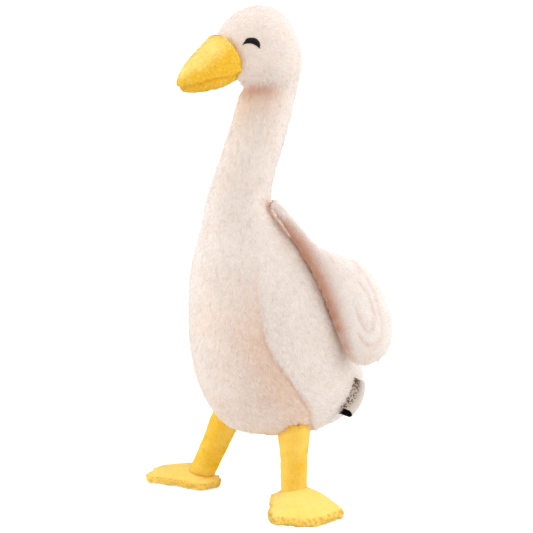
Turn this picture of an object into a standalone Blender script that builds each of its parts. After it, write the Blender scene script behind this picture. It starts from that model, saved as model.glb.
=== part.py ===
"""A plush goose, standing on two webbed feet.

It faces -Y, its left side is +X and it stands on Z = 0. All sizes are in metres.
"""
import math

import bmesh
import bpy
import numpy as np
from mathutils import Vector

# Body, neck and head: one sewn and stuffed skin
BELLY_HEIGHT = 0.0525       # floor to the underside of the belly
BODY_HEIGHT = 0.1875        # underside of the belly to the root of the neck
BODY_WIDTH = 0.123
BODY_LENGTH = 0.144         # breast to rump
BODY_SETBACK = 0.016        # middle of the body behind the middle of the hips' line
NECK_SETBACK = -0.0275      # root of the neck against the same line
NECK_DIAMETER = 0.0455
NECK_LENGTH = 0.078
NECK_LEAN = math.radians(21)
HEAD_WIDTH = 0.056
HEAD_HEIGHT = 0.058         # throat to crown
THROAT_RISE = 0.0174        # crease of the throat above the end of the neck
THROAT_SHARE = 0.49         # its distance from the neck's middle against the diameter

# Beak: one stuffed pocket sewn to the front of the head
BEAK_LENGTH = 0.048
BEAK_HEIGHT = 0.036
BEAK_WIDTH = 0.036
BEAK_DROOP = math.radians(22)
MOUTH_DEPTH = 0.0022       # of the crease where the beak's two halves meet
LIP_SPREAD = math.radians(7)

# Wings: stuffed pads sewn on at the shoulder
WING_LENGTH = 0.146
WING_WIDTH = 0.057
WING_THICKNESS = 0.021
WING_SWEEP = math.radians(21)
WING_STAND_OFF = 0.007      # middle of the pad outside the widest line of the body
SHOULDER_CLOSENESS = -0.25  # part of that stand-off at the very shoulder
SHOULDER_SHARE = 0.2        # part of the wing's length over which it grows
SHOULDER_SETBACK = -0.017
SHOULDER_RISE = 0.003       # shoulder above the root of the neck

# Legs and feet
LEG_DIAMETER_HIP = 0.0225
LEG_DIAMETER_ANKLE = 0.0190
HIP_SPACING = 0.068
HIP_SETBACK = 0.000
HIP_DEPTH = 0.022           # top of the leg inside the belly
FOOT_LENGTH = 0.069
FOOT_WIDTH = 0.056
FOOT_EDGE = 0.0074          # upright band round the foot
FOOT_RISE = 0.0062          # instep above that band
HEEL_SHARE = 0.29           # part of the foot's length behind the middle of the leg

# Where the ankles stand, and how far the toes turn out
LEFT_STEP = (0.033, 0.001)
RIGHT_STEP = (-0.0600, -0.0230)
LEFT_TURNOUT = math.radians(68)
RIGHT_TURNOUT = math.radians(84)

# Eyes: raised crescents of black thread
EYE_WIDTH = 0.0120
EYE_HEIGHT = 0.0058
EYE_PROUD = 0.0012
EYE_BEARING = math.radians(54)
EYE_LIFT = math.radians(1)
EYE_TILT = math.radians(20)
EYE_SAG = 0.12              # arch of the lower edge against that of the upper
EYE_STEPS = 12
EYE_STATION = 5             # section of the head whose middle the eyes look out from

# Label: a folded loop of woven tape in the seam at the left of the rump
LABEL_WIDTH = 0.028
LABEL_PROUD = 0.0085
LABEL_GAP = 0.0050
LABEL_THICKNESS = 0.0008
FOLD_STEPS = 8
LABEL_RISE = 0.0345         # label above the underside of the belly
LABEL_BEARING = math.radians(115)
LABEL_TILT = math.radians(-36)

SEAM_GAP = 0.0003           # between two pieces that are sewn together
BURIED = 0.003              # how far a piece runs into its neighbour before it is cut back
SKIN_SIDES = 20
PAD_SIDES = 16
LEG_SIDES = 12

# Profile of the body: rise as a share of its height, then the breast, the back and
# half the width as shares of its length and width
BODY_PROFILE = (
    (0.003, -0.18, 0.13, 0.15),
    (0.024, -0.31, 0.26, 0.28),
    (0.061, -0.375, 0.385, 0.37),
    (0.12, -0.43, 0.475, 0.445),
    (0.20, -0.49, 0.495, 0.49),
    (0.307, -0.53, 0.45, 0.50),
    (0.413, -0.55, 0.385, 0.492),
    (0.52, -0.552, 0.325, 0.476),
    (0.627, -0.555, 0.26, 0.447),
    (0.728, -0.545, 0.175, 0.394),
    (0.829, -0.52, 0.065, 0.313),
    (0.915, -0.50, -0.028, 0.248),
)
# Neck: share of its length, and its radius against the plain tube
NECK_PROFILE = ((0.0, 1.10), (0.22, 1.02), (0.48, 1.0), (0.72, 1.0), (0.93, 1.0))
# Head: sections fan out from the throat. The angle of each above the horizontal, the
# reach to the crown, the slide of its foot towards the beak, and half the width
HEAD_PROFILE = (
    (-5, 0.855, 0.0, 0.392),
    (7, 0.885, -0.03, 0.462),
    (21, 0.945, -0.05, 0.482),
    (38, 0.99, 0.0, 0.491),
    (54, 1.02, 0.05, 0.50),
    (71, 1.01, 0.15, 0.50),
    (88, 0.92, 0.30, 0.473),
    (104, 0.83, 0.55, 0.42),
    (115, 0.76, 0.80, 0.366),
)
SEAM_REACH = 0.0100         # throat to the foot of the beak's seam
# Beak: share of its length, top, underside and half the width
BEAK_PROFILE = (
    (0.0, 0.50, -0.50, 0.50),
    (0.20, 0.46, -0.495, 0.485),
    (0.42, 0.38, -0.50, 0.45),
    (0.63, 0.285, -0.43, 0.38),
    (0.80, 0.18, -0.35, 0.29),
    (0.92, 0.07, -0.26, 0.19),
    (0.985, -0.03, -0.16, 0.08),
)
# Wing: share of its length, front edge and rear edge against its axis, and thickness
WING_PROFILE = (
    (0.01, -0.06, 0.10, 0.50),
    (0.08, -0.07, 0.165, 0.72),
    (0.18, -0.06, 0.195, 0.78),
    (0.28, -0.08, 0.22, 0.86),
    (0.355, -0.095, 0.36, 0.92),
    (0.43, -0.11, 0.66, 0.97),
    (0.535, -0.125, 0.82, 1.0),
    (0.66, -0.15, 0.87, 1.0),
    (0.78, -0.145, 0.87, 1.0),
    (0.89, -0.105, 0.80, 0.94),
    (0.96, 0.0, 0.65, 0.80),
    (0.995, 0.17, 0.47, 0.50),
)
# Left half of the foot's outline: forward of the heel as a share of the length, and
# out from the middle as a share of the width
FOOT_OUTLINE = (
    (0.0, 0.0),
    (0.03, 0.17),
    (0.13, 0.26),
    (0.33, 0.31),
    (0.55, 0.41),
    (0.73, 0.50),
    (0.81, 0.485),
    (0.86, 0.33),
    (0.955, 0.18),
    (1.0, 0.0),
)
LEG_STATIONS = (0, 0.06, 0.35, 0.65, 0.94, 1)
# Layers of the foot from the sole up: size against the outline, height as a share of the
# upright band, and height of the instep's puff
FOOT_LAYERS = (
    (0.985, 0.0, 0.0),
    (1.0, 0.45, 0.0),
    (1.015, 0.95, 0.0),
    (0.95, 1.10, 0.0),
    (0.80, 1.0, 0.10),
    (0.52, 1.0, 0.55),
    (0.24, 1.0, 1.0),
)

UP = Vector((0, 0, 1))
LEFT = Vector((1, 0, 0))


def swell(sides):
    """How much wider than the finished round its cage of flat sides has to be."""
    return 3 / (2 + math.cos(2 * math.pi / sides))


def oval(middle, across, upward, sides):
    """Points round an ellipse, from its middle and its two half axes."""
    grow = swell(sides)
    turns = [2 * math.pi * i / sides for i in range(sides)]
    return [middle + grow * (across * math.cos(t) + upward * math.sin(t)) for t in turns]


def lipped_oval(middle, across, upward, sides):
    """An oval with a crease on each side, low down, where the mouth closes."""
    grow = swell(sides)
    step = 2 * math.pi / sides
    lips = [-3 * step, math.pi + 3 * step]
    turns = [step * i for i in range(sides)]
    turns += [lip + offset for lip in lips for offset in (-LIP_SPREAD, LIP_SPREAD)]
    points = []
    for turn in sorted(t % (2 * math.pi) for t in turns):
        round_point = across * math.cos(turn) + upward * math.sin(turn)
        in_crease = any(abs(turn - lip % (2 * math.pi)) < LIP_SPREAD / 2 for lip in lips)
        fade = min(1, across.length / (BEAK_WIDTH / 4))
        depth = MOUTH_DEPTH * fade if in_crease else 0
        points.append(middle + grow * round_point - round_point.normalized() * depth)
    return points


def cloth(name, colour, roughness):
    material = bpy.data.materials.new(name)
    material.use_nodes = True
    shader = material.node_tree.nodes["Principled BSDF"]
    shader.inputs["Base Color"].default_value = (*colour, 1)
    shader.inputs["Roughness"].default_value = roughness
    shader.inputs["Metallic"].default_value = 0
    return material


def add(name, mesh, collection, material=None):
    piece = bpy.data.objects.new(name, mesh)
    collection.objects.link(piece)
    if material:
        mesh.materials.append(material)
    return piece


def mesh_from(name, cage):
    bmesh.ops.recalc_face_normals(cage, faces=cage.faces)
    mesh = bpy.data.meshes.new(name)
    cage.to_mesh(mesh)
    cage.free()
    mesh.shade_smooth()
    return mesh


def loft(name, sections, flat_end=None):
    """A closed cage through sections of equal count. flat_end names the section whose
    rim stays sharp, so that the end beyond it stays flat."""
    cage = bmesh.new()
    sharpness = cage.edges.layers.float.new("crease_edge")
    rings = [[cage.verts.new(point) for point in section] for section in sections]
    for lower, upper in zip(rings, rings[1:]):
        for i in range(len(lower)):
            j = (i + 1) % len(lower)
            cage.faces.new((lower[i], lower[j], upper[j], upper[i]))
    cage.faces.new(rings[0])
    cage.faces.new(rings[-1])
    if flat_end is not None:
        rim = rings[flat_end]
        for i, corner in enumerate(rim):
            cage.edges.get((corner, rim[i - 1]))[sharpness] = 1
    return mesh_from(name, cage)


def soften(piece, levels=1):
    rounding = piece.modifiers.new("rounding", "SUBSURF")
    rounding.levels = levels
    rounding.render_levels = levels


def cut(piece, tool, operation="DIFFERENCE"):
    boolean = piece.modifiers.new(operation.lower(), "BOOLEAN")
    boolean.operation = operation
    boolean.solver = "EXACT"
    boolean.object = tool


def swollen_copy(piece, distance, cutters):
    """A tool of the same form as a piece, its surface moved out by a distance."""
    tool = bpy.data.objects.new(f"{piece.name}_grown_{distance * 1e4:.0f}", piece.data)
    cutters.objects.link(tool)
    soften(tool)
    growth = tool.modifiers.new("growth", "DISPLACE")
    growth.strength = distance
    growth.mid_level = 0
    tool.hide_render = True
    tool.display_type = "WIRE"
    return tool


def body_station(rise, breast, back, half_width):
    height = BELLY_HEIGHT + rise * BODY_HEIGHT
    front = Vector((0, BODY_SETBACK + breast * BODY_LENGTH, height))
    rear = Vector((0, BODY_SETBACK + back * BODY_LENGTH, height))
    return front, rear, half_width * BODY_WIDTH


def neck_middle(share):
    root = Vector((0, NECK_SETBACK, BELLY_HEIGHT + BODY_HEIGHT))
    along = Vector((0, math.sin(NECK_LEAN), math.cos(NECK_LEAN)))
    return root + along * share * NECK_LENGTH


def neck_station(share, radius):
    half = radius * NECK_DIAMETER / 2
    rearward = Vector((0, math.cos(NECK_LEAN), -math.sin(NECK_LEAN))) * half
    middle = neck_middle(share)
    return middle - rearward, middle + rearward, half


def throat():
    return neck_middle(1) + Vector((0, -NECK_DIAMETER * THROAT_SHARE, THROAT_RISE))


def head_station(angle, reach, slide, half_width):
    foot = throat() - Vector((0, slide * SEAM_REACH, 0))
    turn = math.radians(angle)
    crown = throat() + Vector((0, math.cos(turn), math.sin(turn))) * reach * HEAD_HEIGHT
    return foot, crown, half_width * HEAD_WIDTH


def seam_axes():
    """Middle of the beak's seam, the way the beak points, and up its seam."""
    upward = Vector((0, -math.sin(BEAK_DROOP), math.cos(BEAK_DROOP)))
    forward = Vector((0, -math.cos(BEAK_DROOP), -math.sin(BEAK_DROOP)))
    foot = throat() - Vector((0, SEAM_REACH, 0))
    return foot + upward * BEAK_HEIGHT / 2, forward, upward


def skin_section(station):
    front, rear, half_width = station
    return oval((front + rear) / 2, LEFT * half_width, (rear - front) / 2, SKIN_SIDES)


def make_body(material, parts):
    stations = [body_station(*row) for row in BODY_PROFILE]
    stations += [neck_station(*row) for row in NECK_PROFILE]
    stations += [head_station(*row) for row in HEAD_PROFILE]
    middle, _, upward = seam_axes()
    half = upward * BEAK_HEIGHT / 2
    stations.append((middle - half, middle + half, BEAK_WIDTH / 2))
    sections = [skin_section(station) for station in stations]
    skin = add("body", loft("body", sections, flat_end=-1), parts, material)
    soften(skin)
    return skin


def make_beak(material, parts):
    middle, forward, upward = seam_axes()
    start = middle + forward * SEAM_GAP
    sections = []
    for along, top, underside, half_width in BEAK_PROFILE:
        centre = start + forward * along * BEAK_LENGTH
        centre += upward * (top + underside) / 2 * BEAK_HEIGHT
        half = upward * (top - underside) / 2 * BEAK_HEIGHT
        sections.append(lipped_oval(centre, LEFT * half_width * BEAK_WIDTH, half, SKIN_SIDES))
    beak = add("beak", loft("beak", sections, flat_end=0), parts, material)
    soften(beak)
    return beak


def body_half_width(height):
    """Half the body's width at a height, read from its profile."""
    stations = [body_station(*row) for row in BODY_PROFILE] + [neck_station(*NECK_PROFILE[0])]
    heights = [(front.z + rear.z) / 2 for front, rear, _ in stations]
    return float(np.interp(height, heights, [half for _, _, half in stations]))


def make_wing(name, side, material, skin_clearance, parts):
    downward = Vector((0, math.sin(WING_SWEEP), -math.cos(WING_SWEEP)))
    rearward = Vector((0, math.cos(WING_SWEEP), math.sin(WING_SWEEP)))
    shoulder = Vector((0, SHOULDER_SETBACK, BELLY_HEIGHT + BODY_HEIGHT + SHOULDER_RISE))
    middles = []
    for along, *_ in WING_PROFILE:
        middle = shoulder + downward * along * WING_LENGTH
        clear = WING_STAND_OFF * min(1, SHOULDER_CLOSENESS + along / SHOULDER_SHARE)
        middle.x = side * (body_half_width(middle.z) + clear)
        middles.append(middle)
    sections = []
    for i, (along, lead, trail, thickness) in enumerate(WING_PROFILE):
        run = middles[min(i + 1, len(middles) - 1)] - middles[max(i - 1, 0)]
        outward = run.cross(rearward).normalized() * thickness * WING_THICKNESS / 2
        middle = middles[i] + rearward * (lead + trail) / 2 * WING_WIDTH
        across = rearward * (trail - lead) / 2 * WING_WIDTH
        sections.append(oval(middle, across, outward, PAD_SIDES))
    wing = add(name, loft(name, sections), parts, material)
    soften(wing)
    cut(wing, skin_clearance)
    return wing


def foot_ring(share, height, ankle, forward, sideways):
    """One ring of the foot: its outline drawn in towards the ankle by a share."""
    left = list(FOOT_OUTLINE)
    right = [(along, -out) for along, out in reversed(left[1:-1])]
    points = []
    for along, out in left + right:
        reach = (along - HEEL_SHARE) * FOOT_LENGTH * share
        points.append(ankle + forward * reach + sideways * out * FOOT_WIDTH * share
                      + UP * height)
    return points


def make_foot(name, step, turnout, side, material, parts):
    forward = Vector((side * math.sin(turnout), -math.cos(turnout), 0))
    sideways = forward.cross(UP)
    ankle = Vector((*step, 0))
    sections = []
    for share, band, puff in FOOT_LAYERS:
        height = band * FOOT_EDGE + puff * FOOT_RISE
        sections.append(foot_ring(share, height, ankle, forward, sideways))
    foot = add(name, loft(name, sections, flat_end=0), parts, material)
    soften(foot)
    return foot


def make_leg(name, step, side, material, tools, parts):
    hip = Vector((side * HIP_SPACING / 2, HIP_SETBACK, BELLY_HEIGHT + HIP_DEPTH))
    ankle = Vector((*step, FOOT_EDGE))
    along = (hip - ankle).normalized()
    across = along.cross(LEFT).normalized()
    outward = across.cross(along)
    sections = []
    for share in LEG_STATIONS:
        radius = (LEG_DIAMETER_ANKLE + share * (LEG_DIAMETER_HIP - LEG_DIAMETER_ANKLE)) / 2
        middle = ankle.lerp(hip, share)
        sections.append(oval(middle, outward * radius, across * radius, LEG_SIDES))
    leg = add(name, loft(name, sections), parts, material)
    soften(leg)
    for tool in tools:
        cut(leg, tool)
    return leg


def skin_hit(skin, start, direction):
    """Where a straight line from inside the skin comes out, and the skin's normal."""
    graph = bpy.context.evaluated_depsgraph_get()
    _, place, normal, _ = skin.evaluated_get(graph).ray_cast(start, direction)
    return place, normal


def make_eye(name, side, skin, material, tools, parts):
    skull = throat().lerp(head_station(*HEAD_PROFILE[EYE_STATION])[1], 0.5)
    gaze = Vector((side * math.sin(EYE_BEARING) * math.cos(EYE_LIFT),
                   -math.cos(EYE_BEARING) * math.cos(EYE_LIFT), math.sin(EYE_LIFT)))
    place, normal = skin_hit(skin, skull, gaze)
    level = UP.cross(normal).normalized() * side
    along = level * math.cos(EYE_TILT) - normal.cross(level) * side * math.sin(EYE_TILT)
    above = normal.cross(along) * side
    turns = [math.pi * i / EYE_STEPS for i in range(EYE_STEPS + 1)]
    upper = [(math.cos(turn), math.sin(turn)) for turn in turns]
    lower = [(x, EYE_SAG * y) for x, y in reversed(upper[1:-1])]
    sections = []
    for depth in (-BURIED, BURIED):
        middle = place + normal * depth
        sections.append([
            middle + along * x * EYE_WIDTH / 2 + above * (y - 0.5) * EYE_HEIGHT
            for x, y in upper + lower])
    eye = add(name, loft(name, sections), parts, material)
    clearance, proud = tools
    cut(eye, proud, "INTERSECT")
    cut(eye, clearance)
    return eye


def make_label(skin, material, skin_clearance, parts):
    start = Vector((0, BODY_SETBACK, BELLY_HEIGHT + LABEL_RISE))
    bearing = Vector((math.sin(LABEL_BEARING), -math.cos(LABEL_BEARING), 0))
    place, normal = skin_hit(skin, start, bearing)
    upward = (UP - normal * UP.dot(normal)).normalized()
    across = normal.cross(upward)
    seam = upward * math.cos(LABEL_TILT) + across * math.sin(LABEL_TILT)
    spread = normal.cross(seam)
    bend = LABEL_GAP / 2
    path = [(-2 * BURIED, -bend)]
    for i in range(FOLD_STEPS + 1):
        turn = math.pi * (i / FOLD_STEPS - 0.5)
        path.append((LABEL_PROUD - bend + bend * math.cos(turn), bend * math.sin(turn)))
    path.append((-2 * BURIED, bend))
    strip = bmesh.new()
    rows = []
    for out, off in path:
        middle = place + normal * out + spread * off
        rows.append([strip.verts.new(middle + seam * half)
                     for half in (-LABEL_WIDTH / 2, 0, LABEL_WIDTH / 2)])
    for row, after in zip(rows, rows[1:]):
        for i in range(2):
            strip.faces.new((row[i], row[i + 1], after[i + 1], after[i]))
    label = add("label_tape", mesh_from("label_tape", strip), parts, material)
    thickness = label.modifiers.new("thickness", "SOLIDIFY")
    thickness.thickness = LABEL_THICKNESS
    thickness.offset = 0
    cut(label, skin_clearance)
    return label


def stand_on_origin(pieces, frame):
    """Put the middle of the goose's footprint over the origin."""
    bpy.context.view_layer.update()
    graph = bpy.context.evaluated_depsgraph_get()
    corners = np.array([piece.evaluated_get(graph).bound_box for piece in pieces])
    corners = corners.reshape(-1, 3)
    middle = (corners.min(0) + corners.max(0)) / 2
    frame.location = (-middle[0], -middle[1], 0)


def main():
    for leftover in list(bpy.data.objects):
        bpy.data.objects.remove(leftover)
    parts = bpy.data.collections.new("plush_goose")
    cutters = bpy.data.collections.new("cutters")
    for collection in (parts, cutters):
        bpy.context.scene.collection.children.link(collection)

    fur = cloth("fur", (0.90, 0.79, 0.73), 0.95)
    yellow = cloth("yellow_plush", (0.93, 0.58, 0.09), 0.9)
    thread = cloth("black_thread", (0.015, 0.016, 0.018), 0.6)
    tape = cloth("woven_tape", (0.45, 0.42, 0.36), 0.85)

    skin = make_body(fur, parts)
    clearance = swollen_copy(skin, SEAM_GAP, cutters)
    proud = swollen_copy(skin, EYE_PROUD, cutters)
    pieces = [skin, make_beak(yellow, parts)]
    for name, side, step, turnout in (("left", 1, LEFT_STEP, LEFT_TURNOUT),
                                      ("right", -1, RIGHT_STEP, RIGHT_TURNOUT)):
        foot = make_foot(f"foot_{name}", step, turnout, side, yellow, parts)
        foot_clearance = swollen_copy(foot, SEAM_GAP, cutters)
        tools = (clearance, foot_clearance)
        pieces.append(foot)
        pieces.append(make_leg(f"leg_{name}", step, side, yellow, tools, parts))
        pieces.append(make_wing(f"wing_{name}", side, fur, clearance, parts))
        pieces.append(make_eye(f"eye_{name}", side, skin, thread, (clearance, proud), parts))
    pieces.append(make_label(skin, tape, clearance, parts))

    frame = bpy.data.objects.new("goose", None)
    parts.objects.link(frame)
    for piece in pieces + list(cutters.objects):
        piece.parent = frame
    stand_on_origin(pieces, frame)


main()
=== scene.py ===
import math

import bmesh
import bpy
import numpy as np
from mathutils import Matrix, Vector


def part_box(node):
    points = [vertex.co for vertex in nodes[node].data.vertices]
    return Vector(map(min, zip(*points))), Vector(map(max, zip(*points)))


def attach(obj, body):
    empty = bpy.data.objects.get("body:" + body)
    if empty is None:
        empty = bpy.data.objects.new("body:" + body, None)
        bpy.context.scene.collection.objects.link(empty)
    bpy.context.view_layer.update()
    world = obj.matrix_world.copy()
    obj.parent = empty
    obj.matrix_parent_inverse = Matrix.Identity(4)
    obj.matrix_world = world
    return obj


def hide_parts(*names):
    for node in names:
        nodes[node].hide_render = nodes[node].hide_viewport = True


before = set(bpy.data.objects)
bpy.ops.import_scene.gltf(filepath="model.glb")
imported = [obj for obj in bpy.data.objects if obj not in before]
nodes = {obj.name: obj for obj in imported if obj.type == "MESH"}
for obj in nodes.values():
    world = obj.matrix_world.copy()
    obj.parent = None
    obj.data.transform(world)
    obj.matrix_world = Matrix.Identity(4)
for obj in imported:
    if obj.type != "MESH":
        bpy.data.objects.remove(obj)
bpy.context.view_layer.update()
scene = bpy.context.scene
print("frame loaded")

# Stage: a camera with a long lens a little above the goose's shoulder, a pale floor, and
# soft boxes that brighten its edges more than its front
stage = {
    "azimuth": 52, "elevation": 10, "distance": 1.3,
    "aim": (0.0147, -0.0031, 0.185),
    "lens": 114.15,
    "floorHalf": 30.0, "floorTone": (0.93, 0.93, 0.93), "floorGlow": 0.42,
    "skyLight": 0.81, "skyTint": (1.0, 0.985, 0.97),
    # name: (turn round the goose from the camera, height of the box, distance, width, height, watts)
    "softBoxes": {
        "leftBox": (-84, 18, 1.25, 0.9, 1.3, 7.0),
        "rightBox": (86, 24, 1.25, 0.9, 1.3, 7.9),
        "topBox": (-30, 78, 1.3, 1.1, 1.1, 5.0),
    },
}


def direction(azimuth, elevation):
    # Unit direction from the goose towards a bearing and a height, in degrees
    a, e = math.radians(azimuth), math.radians(elevation)
    return Vector((math.sin(a) * math.cos(e), -math.cos(a) * math.cos(e), math.sin(e)))


def makeCamera():
    # It stands off its aim by a bearing, a height and a distance, and looks back at it
    camera = bpy.data.objects.new("camera", bpy.data.cameras.new("camera"))
    scene.collection.objects.link(camera)
    away = direction(stage["azimuth"], stage["elevation"])
    camera.location = Vector(stage["aim"]) + away * stage["distance"]
    camera.rotation_euler = (-away).to_track_quat("-Z", "Y").to_euler()
    camera.data.lens = stage["lens"]
    camera.data.clip_start = 0.05
    scene.camera = camera


def makeLights():
    # Soft boxes: rectangles of light that face the aim
    aim = Vector(stage["aim"])
    for name, (turn, height, far, wide, high, watts) in stage["softBoxes"].items():
        lamp = bpy.data.lights.new(name, "AREA")
        lamp.shape = "RECTANGLE"
        lamp.size = wide
        lamp.size_y = high
        lamp.energy = watts
        box = bpy.data.objects.new(name, lamp)
        away = direction(stage["azimuth"] + turn, height)
        box.location = aim + away * far
        box.rotation_euler = (-away).to_track_quat("-Z", "Y").to_euler()
        scene.collection.objects.link(box)


# Small helpers for shader trees

def newMaterial(name):
    # A material, its shader tree and its Principled shader
    material = bpy.data.materials.new(name)
    material.use_nodes = True
    tree = material.node_tree
    return material, tree, tree.nodes["Principled BSDF"]


def setSockets(shader, values):
    # Constants on a shader's own sockets. A colour gets its fourth value here
    for label, value in values.items():
        shader.inputs[label].default_value = (*value, 1) if isinstance(value, tuple) else value


def addGroup(name, inputs, outputs):
    # A node group with named sockets, and the nodes at its two ends
    group = bpy.data.node_groups.new(name, "ShaderNodeTree")
    for label, kind, value in inputs:
        socket = group.interface.new_socket(name=label, in_out="INPUT", socket_type=kind)
        socket.default_value = value
    for label, kind in outputs:
        group.interface.new_socket(name=label, in_out="OUTPUT", socket_type=kind)
    ends = group.nodes.new("NodeGroupInput"), group.nodes.new("NodeGroupOutput")
    return (group, *ends)


def mathNode(tree, operation, first, second=None, clamp=False):
    # One sum on two values, each a number or another node's socket
    node = tree.nodes.new("ShaderNodeMath")
    node.operation = operation
    node.use_clamp = clamp
    for socket, value in zip(node.inputs, (first, second)):
        if value is None:
            continue
        if isinstance(value, (int, float)):
            socket.default_value = value
        else:
            tree.links.new(value, socket)
    return node.outputs[0]


def mixColours(tree, factor, first, second, blend="MIX"):
    # From the first colour to the second by the factor
    node = tree.nodes.new("ShaderNodeMix")
    node.data_type = "RGBA"
    node.blend_type = blend
    factorSocket, firstSocket, secondSocket = (node.inputs[i] for i in (0, 6, 7))
    for socket, value in ((factorSocket, factor), (firstSocket, first), (secondSocket, second)):
        if isinstance(value, (int, float)):
            socket.default_value = value
        elif isinstance(value, tuple):
            socket.default_value = (*value, 1)
        else:
            tree.links.new(value, socket)
    return node.outputs[2]


def noiseNode(tree, where, scale, detail=2.0, roughness=0.5):
    # Soft blots, about scale of them to a metre
    node = tree.nodes.new("ShaderNodeTexNoise")
    node.inputs["Scale"].default_value = scale
    node.inputs["Detail"].default_value = detail
    node.inputs["Roughness"].default_value = roughness
    tree.links.new(where, node.inputs["Vector"])
    return node.outputs["Fac"]


def fieldOf(tree, name):
    # The values that a mesh holds at its points under this name
    reader = tree.nodes.new("ShaderNodeAttribute")
    reader.attribute_name = name
    return reader.outputs["Fac"]


def bumpFrom(tree, height, strength, distance, shader):
    # A texture's height, felt by the light only
    bump = tree.nodes.new("ShaderNodeBump")
    bump.inputs["Strength"].default_value = strength
    bump.inputs["Distance"].default_value = distance
    tree.links.new(height, bump.inputs["Height"])
    tree.links.new(bump.outputs["Normal"], shader.inputs["Normal"])


def seenRays(tree):
    # 1 for rays from the camera, off a shiny surface or through glass, 0 for the light itself
    path = tree.nodes.new("ShaderNodeLightPath")
    direct = mathNode(tree, "MAXIMUM", path.outputs["Is Camera Ray"], path.outputs["Is Glossy Ray"])
    return mathNode(tree, "MAXIMUM", direct, path.outputs["Is Transmission Ray"])


def makeSky():
    # The sky lights evenly at one level and shows pure white to the camera
    sky = bpy.data.worlds.new("sky")
    scene.world = sky
    sky.use_nodes = True
    tree = sky.node_tree
    tree.nodes.clear()
    out = tree.nodes.new("ShaderNodeOutputWorld")
    soft = tree.nodes.new("ShaderNodeBackground")
    white = tree.nodes.new("ShaderNodeBackground")
    mix = tree.nodes.new("ShaderNodeMixShader")
    soft.inputs["Color"].default_value = (*stage["skyTint"], 1)
    soft.inputs["Strength"].default_value = stage["skyLight"]
    white.inputs["Color"].default_value = (1, 1, 1, 1)
    link = tree.links.new
    link(seenRays(tree), mix.inputs[0])
    link(soft.outputs[0], mix.inputs[1])
    link(white.outputs[0], mix.inputs[2])
    link(mix.outputs[0], out.inputs["Surface"])


def makeFloor():
    # A wide flat square at height zero, whose own glow for the camera turns it white
    # everywhere but in the goose's shadow
    mesh = bpy.data.meshes.new("floor")
    half = stage["floorHalf"]
    corners = [(-half, -half, 0), (half, -half, 0), (half, half, 0), (-half, half, 0)]
    mesh.from_pydata(corners, [], [(0, 1, 2, 3)])
    floor = bpy.data.objects.new("floor", mesh)
    scene.collection.objects.link(floor)
    finish, tree, shader = newMaterial("paleFloor")
    setSockets(shader, {"Base Color": stage["floorTone"], "Roughness": 0.9,
                        "Specular IOR Level": 0.1, "Emission Color": (1, 1, 1)})
    glow = mathNode(tree, "MULTIPLY", seenRays(tree), stage["floorGlow"])
    tree.links.new(glow, shader.inputs["Emission Strength"])
    mesh.materials.append(finish)


makeCamera()
makeLights()
makeSky()
makeFloor()
print("stage ready")


# Places on the goose that seams and nap follow, in metres in the frame
lowBody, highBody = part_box("body")
plan = {
    "middleX": (lowBody[0] + highBody[0]) / 2,     # the goose's own plane of symmetry
    "bodyAxisY": 0.0129,                           # upright axis of the belly
    "neckRoot": 0.240, "neckRootY": -0.0306,
    "wingMiddleY": 0.02,
    "neckLean": math.radians(21),
    "throat": 0.3302, "throatY": -0.0249,
    "girth": 0.058,                                # radius by which bearings become lengths
}
overFloor = 0.0002                                 # no cloth or fibre comes lower


# Numbers worked out on whole arrays of points

def unit(rows):
    # Rows scaled to length one
    return rows / np.maximum(np.linalg.norm(rows, axis=-1, keepdims=True), 1e-12)


def smooth(low, high, value):
    # 0 below low, 1 above high, and an s-curve between them
    t = np.clip((value - low) / (high - low), 0, 1)
    return t * t * (3 - 2 * t)


def ripple(points, size, seed, waves=8):
    # Smooth unevenness from about -1 to 1: plane sine waves of about one size, crossing the
    # points in random directions, summed
    dice = np.random.default_rng(seed)
    across = unit(dice.normal(size=(waves, 3))) / (size * dice.uniform(0.7, 1.6, (waves, 1)))
    phase = dice.uniform(0, 2 * math.pi, waves)
    return np.sin(2 * math.pi * points @ across.T + phase).sum(1) / math.sqrt(waves) * 0.8


def bell(value, middle, width):
    # 1 at the middle, falling off on both sides: the exponential of minus the square of the
    # distance over the width
    return np.exp(-((value - middle) / width) ** 2)


def curveThrough(keys, count):
    # A smooth curve through key points: on each stretch, the cubic whose slopes at both
    # ends follow the neighbouring keys
    keys = np.asarray(keys, float)
    padded = np.vstack([2 * keys[0] - keys[1], keys, 2 * keys[-1] - keys[-2]])
    place = np.linspace(0, len(keys) - 1, count)
    i = np.minimum(place.astype(int), len(keys) - 2)
    t = (place - i)[:, None]
    a, b, c, d = padded[i], padded[i + 1], padded[i + 2], padded[i + 3]
    return 0.5 * (2 * b + (c - a) * t + (2 * a - 5 * b + 4 * c - d) * t**2
                  + (3 * b - a - 3 * c + d) * t**3)


def offLine(points, line):
    # Distance of flat points from a line of close points, and the side that each lies on
    gap = ((points[:, None, :] - line[None, :, :]) ** 2).sum(2)
    near = gap.argmin(1)
    run = np.gradient(line, axis=0)[near]
    off = points - line[near]
    side = np.sign(run[:, 0] * off[:, 1] - run[:, 1] * off[:, 0])
    return np.sqrt(gap.min(1)), side


def inSlices(work, *arrays, atOnce=6000):
    # The same work on many rows, a slice at a time, so that it needs little memory
    starts = range(0, len(arrays[0]), atOnce)
    parts = [work(*(rows[i:i + atOnce] for rows in arrays)) for i in starts]
    return [np.concatenate(column) for column in zip(*parts)]


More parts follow.
